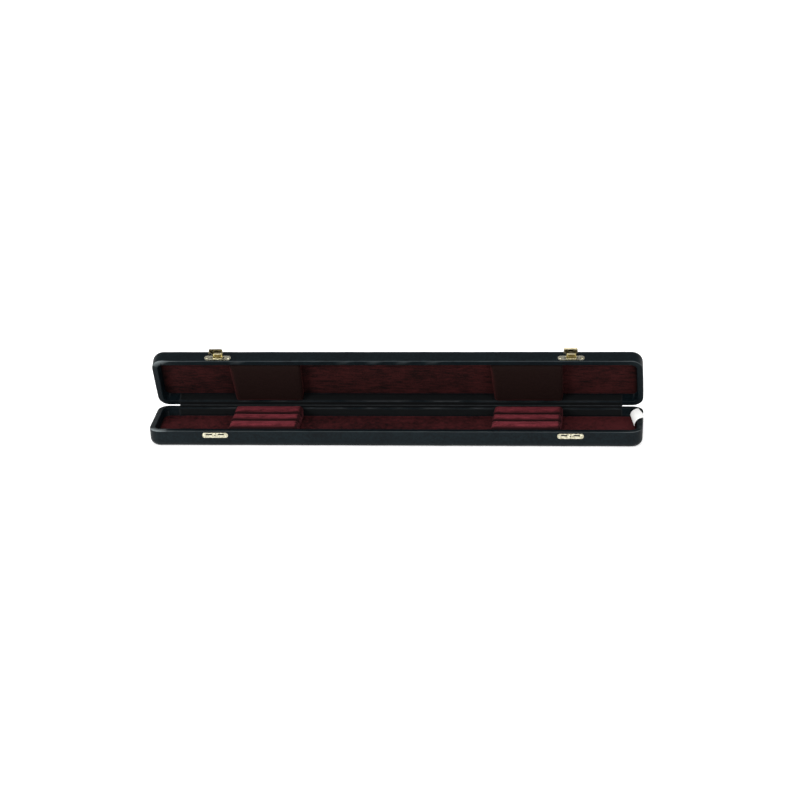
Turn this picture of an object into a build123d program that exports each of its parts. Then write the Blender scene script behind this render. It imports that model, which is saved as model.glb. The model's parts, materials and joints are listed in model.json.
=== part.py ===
import os
from math import asin, cos, degrees, radians, sin, tan

from build123d import *

# Conductor baton case: two shallow trays of leatherette over wood, lined with velvet, joined along the
# back by a glued cloth strip and held at the front by two sprung lever latches.
# The case lies on its flat bottom, x along its length, y from front to back, z up. The origin is the
# middle of the bottom. The lid is drawn where it stands open.

# Driving dimensions, in millimetres and degrees
case_length = 450.0
case_depth = 59.5
base_height = 16.4
lid_height = 15.7
corner_radius = 10.4
edge_radius = 6.6
rim_round = 0.7
skin_thickness = 0.5
wall_wood = 4.4
board_thickness = 3.0
hinge_gap = 0.5
closed_front_gap = 0.4
open_angle = 65.0

lining_clearance = 0.3
velvet_thickness = 0.8
base_pad_thickness = 4.3
lid_card_thickness = 2.1

rest_inset = 105.0
rest_length = 63.0
rest_crest = 3.0
rest_wall_gap = 0.7
rest_cover = 1.2
rest_end_radius = 5.0
rest_end_bulge = 0.9
rest_core_setback = 3.5
ridge_count = 3
groove_width = 3.4
groove_depth = 4.8
shoulder_radius = 3.4
groove_floor_radius = 1.2

pad_clearance = 0.4
pad_wall_gap = 0.4
pad_cover = 1.2
pad_corner = 3.0
pad_drawn_in = 0.5
pad_crown = 0.35
pad_edge_radius = 1.2

strip_inset = 19.5
strip_thickness = 0.2
strip_seam = 0.05
fold_fullness = 0.9
strip_floor_gap = 0.3

left_latch_inset = 62.0
right_latch_inset = 64.3
nail_radius = 0.55
nail_head_radius = 1.3
nail_head_height = 0.55
nail_head_dome = 0.44
nail_depth = 4.2
nail_fit = 0.06

keeper_length = 24.0
keeper_height = 4.9
keeper_thickness = 0.8
keeper_drop = 4.2
keeper_slot_drop = 3.3
keeper_slot_length = 5.8
keeper_slot_height = 1.3
keeper_slot_offset = 5.6
keeper_nail_offset = 10.0
boss_drop = 3.7
boss_radius = 1.35
boss_height = 0.7
boss_hole_radius = 0.7
boss_nail_drop = 2.1
boss_nail_head_radius = 0.6

plate_length = 24.4
plate_height = 5.3
plate_thickness = 0.6
plate_rise = 3.9
plate_nail_offset = 9.9
plate_hole_offset = 5.5
plate_hole_radius = 0.75
housing_height = 0.55
housing_foot_width = 9.2
housing_top_width = 8.2
housing_foot_rise = 2.4
housing_top_rise = 8.3
housing_round = 0.3
housing_corner = 1.0
window_width = 6.0
window_rise = 2.9

pin_rise = 7.2
pin_stand_off = 2.5
pin_radius = 0.5
pin_overhang = 0.2
pin_seat = 0.02
pin_running = 0.06
ear_radius = 1.1
ear_thickness = 0.8

lever_width = 9.4
lever_tip_width = 13.2
lever_tip_corner = 1.8
lever_sheet = 0.6
lever_inner = 1.3
lever_beyond_claw = 1.7
lever_lip = 1.3
lever_heel = 0.5
flange_radius = 1.0
flange_depth = 0.8
claw_length = 0.7
claw_stand_off = 0.4
hub_radius = 1.15
hub_width = 5.6
tongue_width = 4.2
tongue_start = 3.6
tongue_end = 8.4
tongue_drop = 1.3
tongue_sheet = 0.5
left_lever_open = 55.0
right_lever_open = 60.0
lever_full_open = 105.0

spring_width = 5.6
spring_thickness = 0.25
spring_bow = 0.2
spring_end_gap = 0.3

tag_thickness = 0.35
tag_width = 22.5
tag_back = 18.0
tag_rest_gap = 0.05
tag_hang_inward = 1.3
tag_hang_drop = 5.4
tag_reach_out = 3.0
tag_corner_rise = 3.4
tag_back_inward = 5.8
tag_back_drop = 3.7
tag_crest_inward = 3.3
tag_crest_rise = 2.9
tag_back_end = 1.4

# Worked out from the driving dimensions
wall = skin_thickness + wall_wood + skin_thickness
inner_length = case_length - 2 * wall
inner_depth = case_depth - 2 * wall
inner_corner = corner_radius - wall
board_top = skin_thickness + board_thickness
rest_x = case_length / 2 - rest_inset
strip_length = case_length - 2 * strip_inset
base_floor = board_top + base_pad_thickness + velvet_thickness
lid_floor = board_top + lid_card_thickness + velvet_thickness
lid_inside = lid_height - lid_floor
rest_height = base_height + rest_crest - base_floor
pad_thickness = closed_front_gap + lid_inside - rest_crest - pad_clearance
closing_angle = open_angle + degrees(asin((hinge_gap - closed_front_gap) / case_depth))
claw_reach = pin_rise + closed_front_gap + keeper_slot_drop
lever_length = claw_reach + lever_beyond_claw

# The planes that the two trays are drawn from. Along the open lid, out_dir points out of its front wall
# and up_dir from its rim to its top.
x_dir = Vector(1, 0, 0)
out_dir = Vector(0, -cos(radians(open_angle)), sin(radians(open_angle)))
up_dir = Vector(0, sin(radians(open_angle)), cos(radians(open_angle)))
hinge_point = Vector(0, case_depth / 2, base_height + hinge_gap / 2)
lid_rim = Plane(
    origin=hinge_point + out_dir * (case_depth / 2) + up_dir * (hinge_gap / 2), x_dir=x_dir, z_dir=up_dir
)
base_seat = Plane.XY
lid_seat = Plane(origin=lid_rim.from_local_coords(Vector(0, 0, lid_height)), x_dir=x_dir, z_dir=-up_dir)


def keeper_plane(x):
    """The plane on the base's front wall at the middle of a keeper, facing forwards."""
    return Plane(origin=(x, -case_depth / 2, base_height - keeper_drop), x_dir=x_dir, z_dir=(0, -1, 0))


def latch_plane(x):
    """The plane on the lid's front wall at the middle of a latch plate, facing out of that wall."""
    middle = lid_rim.from_local_coords(Vector(x, -case_depth / 2, plate_rise))
    return Plane(origin=middle, x_dir=x_dir, z_dir=out_dir)


def lever_direction(opened):
    """The direction from the pin to the lever's tip, opened by this many degrees from flat."""
    return out_dir * sin(radians(opened)) - up_dir * cos(radians(opened))


def save(name, part):
    """Label a finished piece and write it as its own file."""
    part.label = name
    export_step(part, f"parts/{name}.step")


# Wooden tray: a board with a low wall frame glued on, drawn as one and parted at the board's top
def wooden_tray(seat, height):
    with BuildPart() as tray:
        with BuildSketch(seat.offset(skin_thickness)):
            RectangleRounded(
                case_length - 2 * skin_thickness,
                case_depth - 2 * skin_thickness,
                corner_radius - skin_thickness,
            )
        extrude(amount=height - 2 * skin_thickness)
        across = Axis(seat.origin, seat.z_dir)
        fillet(tray.edges().group_by(across)[0], radius=edge_radius - skin_thickness)
        with BuildSketch(seat.offset(board_top)):
            RectangleRounded(
                inner_length + 2 * skin_thickness,
                inner_depth + 2 * skin_thickness,
                inner_corner + skin_thickness,
            )
        extrude(amount=height, mode=Mode.SUBTRACT)
        fillet(tray.edges().group_by(across)[-1], radius=rim_round - skin_thickness)
    return tray.part


# Nails are driven through the fitting, the skin and into the wood, in holes of their own size
def nail_spots(plane, offsets):
    return [Plane(origin=plane.from_local_coords(Vector(*spot)), x_dir=plane.x_dir, z_dir=plane.z_dir)
            for spot in offsets]


def wooden_board(tray, seat):
    with BuildPart() as board:
        add(tray)
        split(bisect_by=seat.offset(board_top), keep=Keep.BOTTOM)
    return board.part


def wooden_frame(tray, seat, spots):
    with BuildPart() as frame:
        add(tray)
        split(bisect_by=seat.offset(board_top), keep=Keep.TOP)
        with BuildSketch(*spots):
            Circle(nail_radius + nail_fit)
        extrude(amount=-(nail_depth + nail_fit), mode=Mode.SUBTRACT)
    return frame.part


# Leatherette skin: it wraps the outside, rolls over the rim and is turned in down to the board
def leatherette_skin(tray, seat, height, spots):
    with BuildPart() as skin:
        with BuildSketch(seat):
            RectangleRounded(case_length, case_depth, corner_radius)
        extrude(amount=height)
        across = Axis(seat.origin, seat.z_dir)
        fillet(skin.edges().group_by(across)[0], radius=edge_radius)
        with BuildSketch(seat.offset(board_top)):
            RectangleRounded(inner_length, inner_depth, inner_corner)
        extrude(amount=height, mode=Mode.SUBTRACT)
        fillet(skin.edges().group_by(across)[-1], radius=rim_round)
        add(tray, mode=Mode.SUBTRACT)
        with BuildSketch(*spots):
            Circle(nail_radius + nail_fit)
        extrude(amount=-(nail_depth + nail_fit), mode=Mode.SUBTRACT)
    return skin.part


# Floor layers: a padded board under a stretched sheet of velvet
def floor_layer(seat, bottom, thickness):
    with BuildPart() as layer:
        with BuildSketch(seat.offset(bottom)):
            RectangleRounded(
                inner_length - 2 * lining_clearance,
                inner_depth - 2 * lining_clearance,
                inner_corner - lining_clearance,
            )
        extrude(amount=thickness)
    return layer.part


# Baton rest: velvet over a wooden core, three rounded ridges with a groove for a shaft between each two
rest_front = -inner_depth / 2 + rest_wall_gap
rest_back = inner_depth / 2 - rest_wall_gap
ridge_pitch = (rest_back - rest_front) / ridge_count
rest_middle = (rest_front + rest_back) / 2
groove_middles = [rest_front + ridge_pitch * (i + 1) for i in range(ridge_count - 1)]


def rest_section_plane(x):
    return Plane(origin=(x, 0, base_floor), x_dir=(0, 1, 0), z_dir=x_dir)


def rest_core(x):
    core_height = rest_height - rest_cover
    core_groove = groove_width + 2 * rest_cover
    with BuildPart() as core:
        with BuildSketch(rest_section_plane(x)) as section:
            with Locations((rest_middle, core_height / 2)):
                Rectangle(rest_back - rest_front - 2 * rest_cover, core_height)
            for middle in groove_middles:
                with Locations((middle, core_height)):
                    Rectangle(core_groove, 2 * groove_depth, mode=Mode.SUBTRACT)
            fillet(section.vertices().group_by(Axis.Y)[-1], radius=shoulder_radius - rest_cover)
        extrude(amount=rest_length / 2 - rest_core_setback, both=True)
    return core.part


def rest_velvet(x, core):
    with BuildPart() as cover:
        with BuildSketch(rest_section_plane(x)) as section:
            with Locations((rest_middle, rest_height / 2)):
                Rectangle(rest_back - rest_front, rest_height)
            for middle in groove_middles:
                with Locations((middle, rest_height)):
                    Rectangle(groove_width, 2 * groove_depth, mode=Mode.SUBTRACT)
            fillet(section.vertices().group_by(Axis.Y)[-1], radius=shoulder_radius)
            fillet(section.vertices().group_by(Axis.Y)[1], radius=groove_floor_radius)
        extrude(amount=rest_length / 2, both=True)
        # rounded over at both ends, seen from the front
        with BuildSketch(Plane(origin=(x, 0, base_floor), x_dir=x_dir, z_dir=(0, -1, 0))) as side:
            with Locations((0, rest_height / 2)):
                Rectangle(rest_length, rest_height)
            fillet(side.vertices().group_by(Axis.Y)[-1], radius=rest_end_radius)
        extrude(amount=case_depth, both=True, mode=Mode.INTERSECT)
        # each ridge bulges a little at its ends, seen from above
        with BuildSketch(Plane(origin=(x, 0, base_floor), x_dir=x_dir, z_dir=(0, 0, 1))):
            with BuildLine():
                for sign in (-1, 1):
                    end = sign * rest_length / 2
                    drawn_in = end - sign * rest_end_bulge
                    for i in range(ridge_count):
                        low = rest_front + ridge_pitch * i
                        ThreePointArc(
                            (drawn_in, low), (end, low + ridge_pitch / 2), (drawn_in, low + ridge_pitch)
                        )
                for y in (rest_front, rest_back):
                    Line((-rest_length / 2 + rest_end_bulge, y), (rest_length / 2 - rest_end_bulge, y))
            make_face()
        extrude(amount=2 * rest_height, mode=Mode.INTERSECT)
        add(core, mode=Mode.SUBTRACT)
    return cover.part


# Lid pad: velvet over foam, a low cushion with a slight crown and sides drawn in between its corners.
# It presses towards the rest below it when the lid is shut.
pad_depth = inner_depth - 2 * pad_wall_gap


def lid_pad_foam(x):
    foot = lid_seat.offset(lid_floor)
    with BuildPart() as foam:
        with BuildSketch(foot):
            with Locations((x, 0)):
                RectangleRounded(
                    rest_length - 2 * pad_cover - 2 * pad_drawn_in,
                    pad_depth - 2 * pad_cover - 2 * pad_drawn_in,
                    pad_corner,
                )
        extrude(amount=pad_thickness - pad_cover - pad_crown)
    return foam.part


def is_on_the_crown(foot, edge):
    """Whether an edge lies along the pad's upper face."""
    return foot.to_local_coords(edge.center()).Z > pad_thickness - 2 * pad_crown


def lid_pad_velvet(x, foam):
    middle = lid_seat.from_local_coords(Vector(x, 0, lid_floor))
    foot = Plane(origin=middle, x_dir=x_dir, z_dir=-up_dir)
    seen_from_front = Plane(origin=middle, x_dir=x_dir, z_dir=-foot.y_dir)
    seen_from_end = Plane(origin=middle, x_dir=foot.y_dir, z_dir=x_dir)
    half_length, half_depth = rest_length / 2, pad_depth / 2
    with BuildPart() as cover:
        with BuildSketch(foot) as outline:
            with BuildLine():
                for s in (-1, 1):
                    ThreePointArc(
                        (-half_length, s * half_depth),
                        (0, s * (half_depth - pad_drawn_in)),
                        (half_length, s * half_depth),
                    )
                    ThreePointArc(
                        (s * half_length, -half_depth),
                        (s * (half_length - pad_drawn_in), 0),
                        (s * half_length, half_depth),
                    )
            make_face()
            fillet(outline.vertices(), radius=pad_corner)
        extrude(amount=pad_thickness)
        for side, half in ((seen_from_front, half_length), (seen_from_end, half_depth)):
            with BuildSketch(side):
                with BuildLine():
                    edge = pad_thickness - pad_crown
                    Polyline((-half, edge), (-half, 0), (half, 0), (half, edge))
                    ThreePointArc((-half, edge), (0, pad_thickness), (half, edge))
                make_face()
            extrude(amount=case_length, both=True, mode=Mode.INTERSECT)
        fillet(cover.edges().filter_by(lambda e: is_on_the_crown(foot, e)), radius=pad_edge_radius)
        add(foam, mode=Mode.SUBTRACT)
    return cover.part


# Hinge strip: one band of cloth, glued down the back wall of each tray and over its rim, and free only in
# the fold between the two rims. Each leaf is drawn in a section plane at its tray's outer back edge.
leaf_fillet = rim_round + strip_thickness / 2


def strip_leaf(plane, wall_height):
    with BuildPart() as leaf:
        with BuildSketch(plane):
            with BuildLine() as path:
                FilletPolyline(
                    (-wall - strip_thickness / 2, strip_floor_gap - wall_height),
                    (-wall - strip_thickness / 2, strip_thickness / 2),
                    (-rim_round, strip_thickness / 2),
                    radius=leaf_fillet,
                )
            trace(line_width=strip_thickness)
        extrude(amount=strip_length / 2, both=True)
    return leaf.part


def strip_fold():
    half_gap = hinge_gap / 2 - strip_thickness / 2
    start = Vector(-rim_round + strip_seam, -half_gap)
    corner = Vector(half_gap * (1 + cos(radians(open_angle))) / sin(radians(open_angle)), -half_gap)
    reach = corner.X - start.X
    bend_radius = fold_fullness * reach / tan(radians(180 - open_angle) / 2)
    finish = corner + Vector(-cos(radians(open_angle)), sin(radians(open_angle))) * reach
    with BuildPart() as fold:
        with BuildSketch(Plane(origin=hinge_point, x_dir=(0, 1, 0), z_dir=x_dir)):
            with BuildLine():
                FilletPolyline(
                    (start.X, start.Y), (corner.X, corner.Y), (finish.X, finish.Y), radius=bend_radius
                )
            trace(line_width=strip_thickness)
        extrude(amount=strip_length / 2, both=True)
    return fold.part


# Keeper: a nailed brass plate below the base's rim, with a slot each side of a pierced boss
keeper_nail_spots = [
    (-keeper_nail_offset, 0, 0),
    (keeper_nail_offset, 0, 0),
    (0, keeper_drop - boss_drop - boss_nail_drop, 0),
]


def keeper(x):
    seat = keeper_plane(x)
    with BuildPart() as plate:
        with BuildSketch(seat):
            SlotOverall(keeper_length, keeper_height)
        extrude(amount=keeper_thickness)
        outwards = Axis(seat.origin, seat.z_dir)
        fillet(plate.faces().sort_by(outwards)[-1].edges(), radius=keeper_thickness / 2)
        with BuildSketch(seat):
            with Locations((0, keeper_drop - boss_drop)):
                Circle(boss_radius)
        extrude(amount=keeper_thickness + boss_height)
        fillet(plate.edges().sort_by(outwards)[-1], radius=boss_height / 2)
        with BuildSketch(seat):
            with Locations((0, keeper_drop - boss_drop)):
                Circle(boss_hole_radius)
            with Locations(*[(s * keeper_slot_offset, keeper_drop - keeper_slot_drop) for s in (-1, 1)]):
                Rectangle(keeper_slot_length, keeper_slot_height)
            with Locations(*[spot[:2] for spot in keeper_nail_spots]):
                Circle(nail_radius + nail_fit)
        extrude(amount=keeper_thickness + 2 * boss_height, mode=Mode.SUBTRACT)
    return plate.part


# Nail: a domed head on a straight shank, its head resting on the fitting
def nail(spot, seat_height, head_radius):
    base = spot.offset(seat_height)
    with BuildPart() as piece:
        with BuildSketch(base):
            Circle(head_radius)
        extrude(amount=nail_head_height)
        fillet(piece.edges().sort_by(Axis(base.origin, base.z_dir))[-1], radius=nail_head_dome)
        with BuildSketch(base):
            Circle(nail_radius)
        extrude(amount=-(nail_depth + seat_height))
    return piece.part


# Latch plate: a nailed brass plate with a raised housing, a window over the spring and two ears for the pin
plate_nail_spots = [(-plate_nail_offset, 0, 0), (plate_nail_offset, 0, 0)]
pin_above_plate = pin_rise - plate_rise
ear_middle = window_width / 2 + ear_thickness / 2


def latch_plate(x):
    seat = latch_plane(x)
    outwards = Axis(seat.origin, seat.z_dir)
    with BuildPart() as plate:
        with BuildSketch(seat):
            SlotOverall(plate_length, plate_height)
        extrude(amount=plate_thickness)
        with BuildSketch(seat) as outline:
            with BuildLine():
                Polyline(
                    (-housing_foot_width / 2, housing_foot_rise - plate_rise),
                    (housing_foot_width / 2, housing_foot_rise - plate_rise),
                    (housing_top_width / 2, housing_top_rise - plate_rise),
                    (-housing_top_width / 2, housing_top_rise - plate_rise),
                    close=True,
                )
            make_face()
            fillet(outline.vertices(), radius=housing_corner)
        extrude(amount=plate_thickness + housing_height)
        fillet(plate.faces().sort_by(outwards)[-1].edges(), radius=housing_round)
        for sign in (-1, 1):
            side = Plane(
                origin=seat.from_local_coords(Vector(sign * ear_middle, pin_above_plate, 0)),
                x_dir=up_dir,
                z_dir=x_dir,
            )
            with BuildSketch(side):
                with Locations((0, pin_stand_off)):
                    Circle(ear_radius)
                with Locations((0, pin_stand_off / 2)):
                    Rectangle(2 * ear_radius, pin_stand_off)
            extrude(amount=ear_thickness / 2, both=True)
        window_top = pin_above_plate + ear_radius
        window_foot = window_rise - plate_rise
        with BuildSketch(seat.offset(plate_thickness)):
            with Locations((0, (window_top + window_foot) / 2)):
                Rectangle(window_width, window_top - window_foot)
        extrude(amount=housing_height, mode=Mode.SUBTRACT)
        with BuildSketch(seat):
            with Locations(*[spot[:2] for spot in plate_nail_spots]):
                Circle(nail_radius + nail_fit)
            with Locations((-plate_hole_offset, 0), (plate_hole_offset, 0)):
                Circle(plate_hole_radius)
        extrude(amount=plate_thickness + 2 * housing_height, mode=Mode.SUBTRACT)
        with BuildSketch(Plane(origin=pin_centre(x), x_dir=up_dir, z_dir=x_dir)):
            Circle(pin_radius + pin_seat)
        extrude(amount=lever_width, both=True, mode=Mode.SUBTRACT)
    return plate.part


def pin_centre(x):
    return latch_plane(x).from_local_coords(Vector(0, pin_above_plate, pin_stand_off))


def latch_pin(x):
    with BuildPart() as pin:
        with BuildSketch(Plane(origin=pin_centre(x), x_dir=up_dir, z_dir=x_dir)):
            Circle(pin_radius)
        extrude(amount=lever_width / 2 + pin_overhang, both=True)
        fillet(pin.edges().filter_by(GeomType.CIRCLE), radius=pin_overhang)
    return pin.part


# Latch spring: a bowed steel leaf lying in the housing's window, under the lever's hub
def latch_spring(x):
    seat = latch_plane(x)
    low = window_rise - plate_rise + spring_end_gap
    high = pin_above_plate + ear_radius - spring_end_gap
    level = plate_thickness + spring_thickness / 2
    with BuildPart() as leaf:
        with BuildSketch(Plane(origin=seat.origin, x_dir=up_dir, z_dir=x_dir)):
            with BuildLine():
                ThreePointArc((low, level), ((low + high) / 2, level + spring_bow), (high, level))
            trace(line_width=spring_thickness)
        extrude(amount=spring_width / 2, both=True)
        # its two ends are flattened where they bear on the plate
        with BuildSketch(seat.offset(plate_thickness)):
            Rectangle(plate_length, 4 * plate_height)
        extrude(amount=-plate_thickness, mode=Mode.SUBTRACT)
    return leaf.part


# Latch lever: a brass channel that turns on the pin. Flat on the case it reaches past both rims, and a
# claw on each flange stands in the keeper's slots. A tongue is pressed out of its face, and its tip
# curls outwards for a finger. It is drawn in a side plane, s from the pin to the tip and t outwards.
def latch_lever(x, opened):
    towards_tip = lever_direction(opened)
    side = Plane(origin=pin_centre(x), x_dir=towards_tip, z_dir=-x_dir)
    face = Plane(origin=pin_centre(x), x_dir=x_dir, z_dir=side.y_dir)
    lever_outer = lever_inner + lever_sheet
    claw_tip = claw_stand_off - pin_stand_off
    tongue_level = lever_inner - tongue_drop
    lip_foot = lever_length - 2 * lever_sheet
    with BuildPart() as lever:
        with BuildSketch(side) as profile:
            with BuildLine():
                Polyline(
                    (-lever_heel, lever_outer),
                    (lip_foot, lever_outer),
                    (lever_length - lever_sheet, lever_inner + lever_lip),
                    (lever_length, lever_inner + lever_lip),
                    (lip_foot + lever_sheet, lever_inner),
                    (claw_reach + claw_length, 0),
                    (claw_reach + claw_length / 2, claw_tip),
                    (claw_reach - claw_length / 2, claw_tip),
                    (claw_reach - claw_length, 0),
                    (2 * flange_radius, -flange_depth),
                    (flange_radius, -flange_radius),
                    (-flange_radius, -flange_radius),
                    (-flange_radius, flange_radius / 2),
                    close=True,
                )
            make_face()
        extrude(amount=lever_tip_width, both=True)
        extrude(lever_outline(face, 0), amount=2 * lever_length, both=True, mode=Mode.INTERSECT)
        inside = lever_outline(face.offset(lever_inner), lever_sheet)
        extrude(inside, amount=-2 * lever_length, mode=Mode.SUBTRACT)
        # the hub under the face, then the tongue
        with BuildSketch(side):
            Circle(hub_radius)
            with Locations((0, lever_outer / 2)):
                Rectangle(2 * lever_heel, lever_outer)
        extrude(amount=hub_width / 2, both=True)
        with BuildSketch(side):
            with BuildLine():
                Polyline(
                    (tongue_start, lever_outer), (tongue_start + 2 * tongue_sheet, lever_outer),
                    (tongue_end, tongue_level + tongue_sheet), (tongue_end, tongue_level),
                    (tongue_end - tongue_sheet, tongue_level), (tongue_start, lever_inner), close=True,
                )
            make_face()
        extrude(amount=tongue_width / 2, both=True)
        with BuildSketch(side):
            Circle(pin_radius + pin_running)
        extrude(amount=lever_width, both=True, mode=Mode.SUBTRACT)
    return lever.part


def lever_outline(plane, inset):
    """The lever's tapering outline on its face, inset at its two sides, with rounded corners at the tip."""
    reach = 2 * lever_length
    slope = (lever_width - lever_tip_width) / 2 / lever_length
    wide = lever_width / 2 + slope * reach - inset
    narrow = lever_tip_width / 2 - inset
    tip = -lever_length
    with BuildSketch(plane) as outline:
        with BuildLine():
            Polyline((-wide, reach), (wide, reach), (narrow, tip), (-narrow, tip), close=True)
        make_face()
        fillet(outline.vertices().group_by(Axis.Y)[0], radius=lever_tip_corner)
    return outline.sketch


# End tag: a stiff blank paper tag bent over the rim of the base's right-hand wall. Its inner edge hangs in
# the tray, its front edge bears on the rim's inner corner, and its outer corner stands free.
def tag_section(y, bend):
    corner = Plane(origin=(case_length / 2, y, base_height), x_dir=x_dir, z_dir=(0, -1, 0))
    with BuildSketch(corner) as section:
        with BuildLine():
            ThreePointArc(*bend)
        trace(line_width=tag_thickness)
    return section.sketch


def end_tag():
    bearing = tag_thickness / 2 + tag_rest_gap
    bend_on_rim = (bearing - wall, bearing)
    front_bend = ((-wall - tag_hang_inward, -tag_hang_drop), bend_on_rim, (tag_reach_out, tag_corner_rise))
    back_bend = (
        (-wall - tag_back_inward, -tag_back_drop), (-wall - tag_crest_inward, tag_crest_rise / 3),
        (-wall + tag_back_end, tag_crest_rise),
    )
    with BuildPart() as tag:
        loft(sections=[tag_section(tag_back, back_bend), tag_section(tag_back - tag_width, front_bend)])
    return tag.part


def main():
    os.makedirs("parts", exist_ok=True)
    latches = {
        "left": (left_latch_inset - case_length / 2, left_lever_open),
        "right": (case_length / 2 - right_latch_inset, right_lever_open),
    }
    keeper_spots = []
    latch_spots = []
    for x, _ in latches.values():
        keeper_spots += nail_spots(keeper_plane(x), keeper_nail_spots)
        latch_spots += nail_spots(latch_plane(x), plate_nail_spots)

    halves = {"base": (base_seat, base_height, keeper_spots), "lid": (lid_seat, lid_height, latch_spots)}
    for half, (seat, height, spots) in halves.items():
        tray = wooden_tray(seat, height)
        save(f"{half}_board", wooden_board(tray, seat))
        save(f"{half}_wall_frame", wooden_frame(tray, seat, spots))
        save(f"{half}_cover", leatherette_skin(tray, seat, height, spots))

    save("base_floor_pad", floor_layer(base_seat, board_top, base_pad_thickness))
    save("base_floor_velvet", floor_layer(base_seat, base_floor - velvet_thickness, velvet_thickness))
    save("lid_floor_card", floor_layer(lid_seat, board_top, lid_card_thickness))
    save("lid_floor_velvet", floor_layer(lid_seat, lid_floor - velvet_thickness, velvet_thickness))

    for name, middle in (("left", -rest_x), ("right", rest_x)):
        core = rest_core(middle)
        save(f"{name}_rest_core", core)
        save(f"{name}_rest_velvet", rest_velvet(middle, core))
        foam = lid_pad_foam(middle)
        save(f"{name}_lid_pad_foam", foam)
        save(f"{name}_lid_pad_velvet", lid_pad_velvet(middle, foam))

    for name, (x, opened) in latches.items():
        save(f"{name}_keeper", keeper(x))
        save(f"{name}_latch_plate", latch_plate(x))
        save(f"{name}_latch_pin", latch_pin(x))
        save(f"{name}_latch_spring", latch_spring(x))
        save(f"{name}_latch_lever", latch_lever(x, opened))

    save("keeper_nails", Compound(children=[
        nail(spot, keeper_thickness, boss_nail_head_radius if i % 3 == 2 else nail_head_radius)
        for i, spot in enumerate(keeper_spots)
    ]))
    save("latch_nails", Compound(children=[
        nail(spot, plate_thickness, nail_head_radius) for spot in latch_spots
    ]))

    base_back = Plane(origin=(0, case_depth / 2, base_height), x_dir=(0, 1, 0), z_dir=x_dir)
    lid_back = Plane(
        origin=lid_rim.from_local_coords(Vector(0, case_depth / 2, 0)), x_dir=lid_rim.y_dir, z_dir=-x_dir
    )
    save("hinge_strip_base_leaf", strip_leaf(base_back, base_height - base_floor))
    save("hinge_strip_lid_leaf", strip_leaf(lid_back, lid_inside))
    save("hinge_strip_fold", strip_fold())
    save("end_tag", end_tag())

    print("lid closes through", round(closing_angle, 3), "degrees about", tuple(hinge_point))
    for name, (x, opened) in latches.items():
        print(name, "lever pin at", tuple(pin_centre(x)), "swings", opened - lever_full_open, "to", opened)
    print("base floor", base_floor, "rest height", rest_height, "pad thickness", pad_thickness)


if __name__ == "__main__":
    main()
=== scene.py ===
# %% [markdown]
# A baton case lies open: a shallow base and a lid of the same plan, both leatherette over wood, lined
# with velvet and joined by a cloth strip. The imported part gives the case's sizes and places. Here every
# piece gets its finish, and what shows of leatherette, velvet, cloth, paper and brass is modelled again
# in finer form over the solids that it stands for.

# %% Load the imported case
import json
from math import cos, radians, sin

import bmesh
import bpy
from mathutils import Matrix, Vector, noise


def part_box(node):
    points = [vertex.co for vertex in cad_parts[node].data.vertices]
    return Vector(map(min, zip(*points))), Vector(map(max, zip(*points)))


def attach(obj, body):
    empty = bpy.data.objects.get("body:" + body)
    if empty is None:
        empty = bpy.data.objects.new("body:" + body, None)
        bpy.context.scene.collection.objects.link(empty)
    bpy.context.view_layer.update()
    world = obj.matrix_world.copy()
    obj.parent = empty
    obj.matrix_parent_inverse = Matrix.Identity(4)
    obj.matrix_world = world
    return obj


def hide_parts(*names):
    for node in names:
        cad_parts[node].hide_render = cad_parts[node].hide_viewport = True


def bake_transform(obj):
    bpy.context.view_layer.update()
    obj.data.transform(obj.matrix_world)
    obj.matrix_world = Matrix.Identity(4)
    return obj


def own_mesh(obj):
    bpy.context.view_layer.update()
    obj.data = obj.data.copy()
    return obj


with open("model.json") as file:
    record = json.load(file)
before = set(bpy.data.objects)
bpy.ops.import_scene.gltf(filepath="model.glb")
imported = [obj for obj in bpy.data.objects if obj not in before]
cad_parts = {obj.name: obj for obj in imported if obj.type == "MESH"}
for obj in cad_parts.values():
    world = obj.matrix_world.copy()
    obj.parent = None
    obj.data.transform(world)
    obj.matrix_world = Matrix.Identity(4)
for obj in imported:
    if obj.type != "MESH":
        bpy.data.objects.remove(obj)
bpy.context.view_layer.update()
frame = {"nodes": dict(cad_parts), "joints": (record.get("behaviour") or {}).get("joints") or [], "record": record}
nodes = frame["nodes"]
hinge = Vector(next(j["pos_m"] for j in frame["joints"] if j["name"] == "lid_hinge"))

# %% [markdown]
# Both halves are trays. Each one is drawn flat, with its outer face on the plane z = 0 and its rim
# upwards, and a seat matrix then carries it to where it stands. The base's seat changes nothing. The
# lid's seat turns it over and tips it open, from the hinge's place and the lid's angle. The frame gives a
# node's box but not its walls and roundings, so those few sizes are written here as the part has them.

# %% Measure the two trays
mm = 0.001
open_angle = radians(65)
out_dir = Vector((0, -cos(open_angle), sin(open_angle)))
up_dir = Vector((0, sin(open_angle), cos(open_angle)))

base_low, base_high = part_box("base_cover")
case_length = base_high.x - base_low.x
case_depth = base_high.y - base_low.y
base_height = base_high.z - base_low.z
half_gap = hinge.z - base_height
lid_height = max((v.co - hinge) @ up_dir for v in nodes["lid_cover"].data.vertices) - half_gap

lid_origin = hinge + out_dir * (case_depth / 2) + up_dir * (half_gap + lid_height)
lid_axes = Matrix((Vector((1, 0, 0)), out_dir, -up_dir)).transposed()
base_seat = Matrix.Identity(4)
lid_seat = Matrix.Translation(lid_origin) @ lid_axes.to_4x4()
to_lid = lid_seat.inverted()

wall = 5.4 * mm
corner_radius = 10.4 * mm
edge_radius = 6.6 * mm
rim_round = 0.7 * mm
board_top = 3.5 * mm
print(f"case {case_length:.4f} x {case_depth:.4f}, base {base_height:.4f}, lid {lid_height:.4f}")

# %% [markdown]
# A shader is a little sum over the surface, so it is written as one. This class wraps a node's output and
# turns Python's operators into Math nodes. Any other node comes from its one method, which takes the
# node's type, its settings and the values or links of its sockets.


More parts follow.
